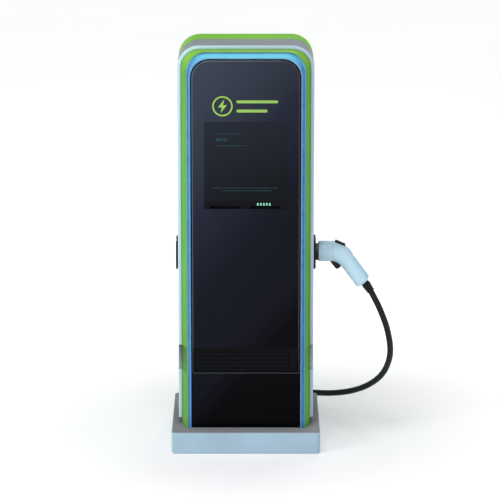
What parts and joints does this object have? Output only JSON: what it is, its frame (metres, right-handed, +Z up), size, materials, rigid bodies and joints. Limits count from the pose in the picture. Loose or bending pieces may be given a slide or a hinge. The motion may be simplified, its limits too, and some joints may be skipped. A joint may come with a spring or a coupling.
{
  "type": "ev charging post",
  "caption": "Free-standing charging post: two-tone cabinet on a square plinth, black glass front, side holster with gun and cable, rear service door.",
  "frame": {"origin": "centre of the four anchor holes, on the ground face of the base plate", "axes": "+Z up along the post, the glass front faces -Y, the gun hangs on the +X side"},
  "size_m": [1.0256, 1.079, 1.872],
  "materials": {
    "hood_paint": "satin mid grey powder coat with a light blue front lip",
    "green_paint": "satin leaf green powder coat",
    "ring_blue": "translucent blue light guide",
    "black_glass": "black back-painted toughened glass",
    "screen_glass": "dark screen glass",
    "dark_trim": "moulded black plastic, fine grain",
    "outlet_plate": "dark grey textured powder coat",
    "seal_rubber": "extruded black rubber",
    "cable_jacket": "black cable jacket, matt",
    "gun_plastic": "light blue moulded plastic, semi gloss",
    "gun_black": "black moulded plastic",
    "zinc_steel": "zinc plated sheet steel",
    "plinth_paint": "light blue grey powder coat",
    "plinth_top_paint": "mid grey powder coat",
    "led_lens": "green light lens",
    "mark_film": "green screen print",
    "module_case": "plain aluminium case",
    "electronics": "grey moulded housing",
    "switch_red": "red moulded handle",
    "earth_copper": "copper bar",
    "foam": "open filter foam"
  },
  "bodies": {
    "root": {"base_plate": "zinc_steel", "plinth_skirt": "plinth_paint", "plinth_top": "plinth_top_paint", "floor_pan": "zinc_steel", "kick_plate": "outlet_plate", "side_frame_left": "zinc_steel", "side_frame_right": "zinc_steel", "top_brace": "zinc_steel", "equipment_plate": "zinc_steel", "front_hood": "hood_paint", "rear_shell": "green_paint", "door_gasket": "seal_rubber", "hinge_fixed_leaves": "zinc_steel", "hinge_pins": "zinc_steel", "chamfer_frame": "green_paint", "light_frame": "ring_blue", "glass_fascia": "black_glass", "lower_panel": "black_glass", "intake_grille": "dark_trim", "intake_filter": "foam", "screen_glass": "screen_glass", "display_module": "module_case", "reader_bar": "dark_trim", "status_lights": "led_lens", "front_mark": "mark_film", "power_module_1": "module_case", "power_module_2": "module_case", "power_module_3": "module_case", "controller_box": "electronics", "din_rail": "zinc_steel", "isolator_body": "electronics", "contactors": "electronics", "supply_unit": "module_case", "outlet_plate_left": "outlet_plate", "outlet_plate_right": "outlet_plate", "holster_cup": "gun_black", "outlet_insert": "gun_black", "lid_pin": "zinc_steel", "plate_screws": "zinc_steel", "cable_run": "cable_jacket", "cable_coil": "cable_jacket", "cable_tail": "cable_jacket", "cable_gland": "gun_black", "earth_bar": "earth_copper"},
    "door": {"rear_door": "green_paint", "hinge_door_leaves": "zinc_steel", "lock_plate": "outlet_plate", "fan_frames": "dark_trim"},
    "gun": {"gun_shell_left": "gun_plastic", "gun_shell_right": "gun_plastic", "gun_nose": "gun_plastic", "gun_connector": "gun_black", "gun_gland": "seal_rubber"},
    "lock": {"lock_handle": "dark_trim"},
    "fan_left": {"fan_rotor_left": "dark_trim"},
    "fan_right": {"fan_rotor_right": "dark_trim"},
    "isolator": {"isolator_handle": "switch_red"},
    "lid": {"outlet_lid": "outlet_plate"},
    "trigger": {"gun_trigger": "gun_black"},
    "button": {"gun_button": "gun_black"}
  },
  "joints": [
    {"name": "door_hinge", "type": "hinge", "parent": "root", "child": "door", "pos_m": [-0.29, 0.19, 0.96], "axis": [0, 0, 1], "range_deg": [0, 110]},
    {"name": "lock_turn", "type": "hinge", "parent": "door", "child": "lock", "pos_m": [0.248, 0.19, 0.96], "axis": [0, -1, 0], "range_deg": [0, 90]},
    {"name": "fan_left_spin", "type": "hinge", "parent": "door", "child": "fan_left", "pos_m": [-0.095, 0.17, 1.62], "axis": [0, 1, 0], "continuous": true},
    {"name": "fan_right_spin", "type": "hinge", "parent": "door", "child": "fan_right", "pos_m": [0.095, 0.17, 1.62], "axis": [0, 1, 0], "continuous": true},
    {"name": "isolator_turn", "type": "hinge", "parent": "root", "child": "isolator", "pos_m": [-0.165, 0.05, 0.66], "axis": [0, 1, 0], "range_deg": [0, 90]},
    {"name": "lid_hinge", "type": "hinge", "parent": "root", "child": "lid", "pos_m": [-0.31815, -0.1, 0.962], "axis": [0, 1, 0], "range_deg": [0, 100]},
    {"name": "gun_slide", "type": "slide", "parent": "root", "child": "gun", "axis": [1, 0, 0], "range_m": [0, 0.09], "deforming": ["cable_run"]},
    {"name": "trigger_pull", "type": "hinge", "parent": "gun", "child": "trigger", "pos_m": [0.396, -0.1, 0.868], "axis": [0, -1, 0], "range_deg": [0, 8], "stiffness_Nm_per_rad": 1, "springref_deg": -2.86},
    {"name": "button_press", "type": "slide", "parent": "gun", "child": "button", "axis": [-0.4067, 0, -0.9135], "range_m": [0, 0.003], "stiffness_N_per_m": 800, "springref_m": -0.002}
  ]
}
